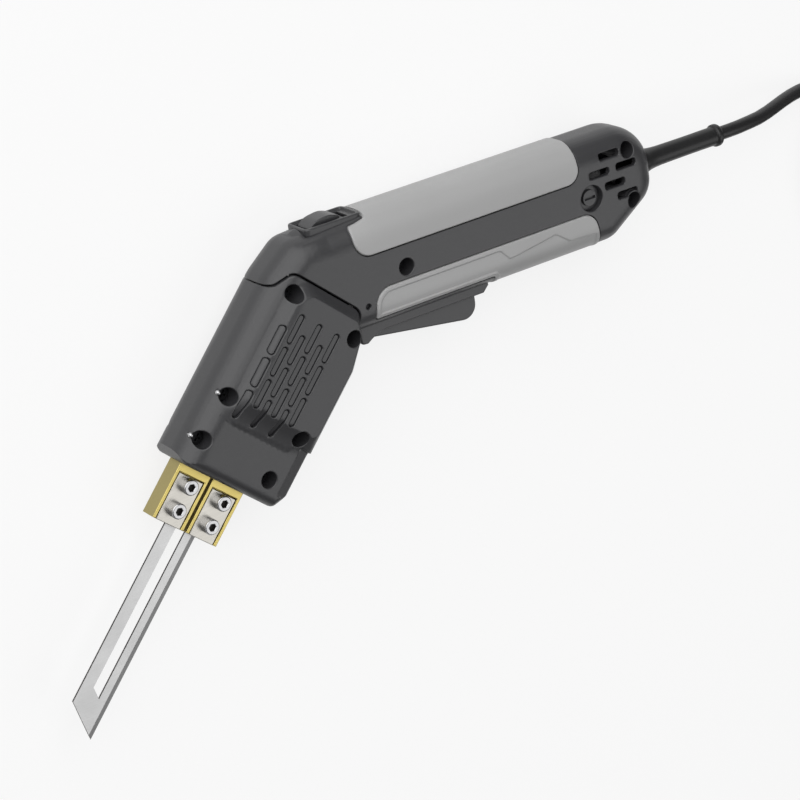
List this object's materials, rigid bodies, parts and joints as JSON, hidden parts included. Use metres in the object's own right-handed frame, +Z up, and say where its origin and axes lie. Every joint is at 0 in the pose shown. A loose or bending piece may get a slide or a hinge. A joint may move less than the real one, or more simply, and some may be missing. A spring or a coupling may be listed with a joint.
{
  "type": "electric hot knife",
  "caption": "Pistol-shaped corded hot knife: grip with trigger and slide switch, vented transformer nose, brass terminal blocks and a long slotted blade.",
  "frame": {"origin": "under the middle of the box round the tool without its cord, on the surface that the tool lies on", "axes": "+X along the handle to the cord, +Y to the top of the handle, +Z up, out of the tool's left side"},
  "size_m": [0.5756, 0.1917, 0.039],
  "materials": {
    "housing": "fine moulded grain",
    "grip": "soft-touch satin",
    "brass": "milled, satin",
    "steel": "satin",
    "plated": "bright plated",
    "copper": "bare copper bar",
    "enamel": "enamelled winding wire",
    "lamination": "stacked laminations",
    "card": "pressed insulating board",
    "black": "moulded, satin",
    "rubber": "flexible PVC, satin",
    "white": "moulded, satin",
    "red": "moulded, glossy"
  },
  "bodies": {
    "housing": {"handle_left_shell": "housing", "handle_right_shell": "housing", "nose_left_cover": "housing", "nose_right_cover": "housing", "upper_left_grip": "grip", "upper_right_grip": "grip", "lower_left_grip": "grip", "lower_right_grip": "grip", "trigger_guide": "housing", "trigger_pin": "steel", "trigger_switch": "black", "slide_bezel": "housing", "slide_switch": "black", "transformer_core": "lamination", "transformer_bobbin": "card", "primary_winding": "enamel", "secondary_strap": "copper", "strap_screws": "plated", "front_plate": "card", "upper_terminal_block": "brass", "lower_terminal_block": "brass", "upper_clamp_plate": "steel", "lower_clamp_plate": "steel", "clamp_screws": "plated", "blade": "steel", "housing_screws": "plated", "dowel_pins": "steel", "access_plug": "housing", "terminal_strip": "white", "inner_leads": "rubber", "cord_clamp": "white", "clamp_bar_screws": "plated", "cord_boot": "rubber", "cord_lead": "rubber", "cord_coil": "rubber", "cord_tail": "rubber", "plug_body": "rubber", "plug_pins": "plated"},
    "trigger": {"trigger_paddle": "housing", "trigger_spring": "steel"},
    "plunger": {"switch_plunger": "red"},
    "button": {"slide_button": "housing"}
  },
  "joints": [
    {"name": "trigger_hinge", "type": "hinge", "parent": "housing", "child": "trigger", "pos_m": [-0.02324, 0.05444, 0.0195], "axis": [0, 0, 1], "range_deg": [0, 5.5], "stiffness_Nm_per_rad": 0.5, "springref_deg": -5.73},
    {"name": "plunger_slide", "type": "slide", "parent": "housing", "child": "plunger", "axis": [0, 1, 0], "range_m": [0, 0.004]},
    {"name": "button_slide", "type": "slide", "parent": "housing", "child": "button", "axis": [1, 0, 0], "range_m": [0, 0.003]}
  ],
  "couplings": [
    {"joint": "plunger_slide", "follows": "trigger_hinge", "m_per_rad": 0.04}
  ]
}
